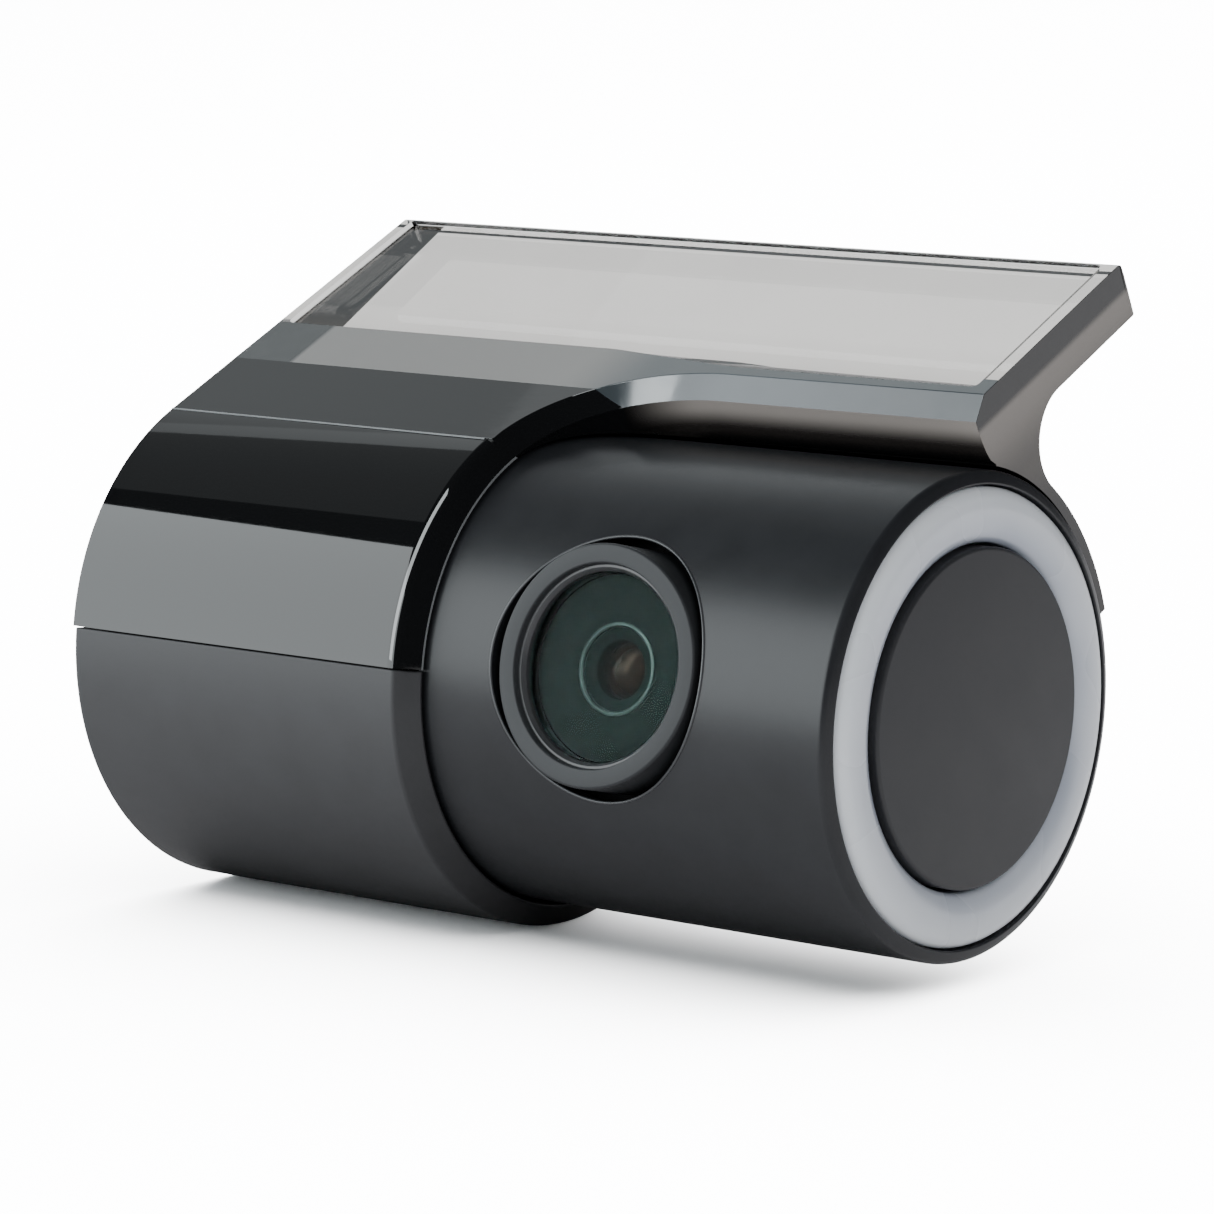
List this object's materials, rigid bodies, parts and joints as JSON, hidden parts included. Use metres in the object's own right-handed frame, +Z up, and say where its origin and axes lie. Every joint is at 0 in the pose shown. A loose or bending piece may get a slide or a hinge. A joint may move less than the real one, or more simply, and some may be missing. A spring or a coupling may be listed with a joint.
{
  "type": "dash camera",
  "caption": "Cylindrical dash camera whose barrel turns in the sleeve of a smoked windscreen bracket, with a glowing ring on one end.",
  "frame": {"origin": "middle of the bracket's adhesive face, which is stuck to the windscreen", "axes": "+X along the barrel towards the light ring, -Y the side the lens looks to, +Z up with the plate sloping 25.2 degrees"},
  "size_m": [0.0716, 0.0424, 0.0516],
  "materials": {
    "smoked_clear": "smoked clear, polished",
    "matte_grey": "fine matte",
    "satin_black": "satin soft-touch",
    "trim_grey": "satin",
    "frosted_light": "frosted translucent",
    "lens_glass": "coated",
    "board": "solder mask",
    "chip": "moulded",
    "led_white": "ceramic",
    "thermal_grey": "soft pad",
    "steel": "plated",
    "aluminium": "extruded",
    "rubber": "moulded"
  },
  "bodies": {
    "mount": {"mount_bracket": "smoked_clear", "sleeve_lower_cover": "matte_grey", "friction_ring_left": "rubber", "friction_ring_right": "rubber"},
    "camera": {"camera_barrel": "satin_black", "light_ring": "frosted_light", "end_disc": "satin_black", "lamp_board": "board", "lamp_1": "led_white", "lamp_2": "led_white", "lamp_3": "led_white", "lamp_4": "led_white", "lamp_5": "led_white", "lamp_6": "led_white", "lens_trim_ring": "trim_grey", "lens_retaining_ring": "satin_black", "lens_front_element": "lens_glass", "lens_baffle": "satin_black", "lens_tube": "satin_black", "lens_second_element": "lens_glass", "aperture_stop": "satin_black", "lens_rear_element": "lens_glass", "infrared_filter": "lens_glass", "lens_holder": "satin_black", "image_sensor": "chip", "sensor_board": "board", "board_connector": "chip", "inner_chassis": "satin_black", "main_board": "board", "processor": "chip", "thermal_pad": "thermal_grey", "memory_chip": "chip", "wireless_antenna": "led_white", "button_switch": "steel", "microphone": "steel", "speaker": "satin_black", "backup_capacitor_1": "steel", "backup_capacitor_2": "steel", "heat_sink": "aluminium", "power_socket": "steel", "video_socket": "satin_black", "card_socket": "steel", "end_cap": "matte_grey", "cap_screw_1": "steel", "cap_screw_2": "steel"},
    "card": {"memory_card": "satin_black"},
    "button": {"function_button": "satin_black"}
  },
  "joints": [
    {"name": "barrel_tilt", "type": "hinge", "parent": "mount", "child": "camera", "pos_m": [0.0358, -0.01186, -0.02741], "axis": [1, 0, 0], "range_deg": [-45, 60]},
    {"name": "card_slide", "type": "slide", "parent": "camera", "child": "card", "axis": [-1, 0, 0], "range_m": [0, 0.012]},
    {"name": "button_press", "type": "slide", "parent": "camera", "child": "button", "axis": [1, 0, 0], "range_m": [0, 0.0006], "stiffness_N_per_m": 400}
  ]
}
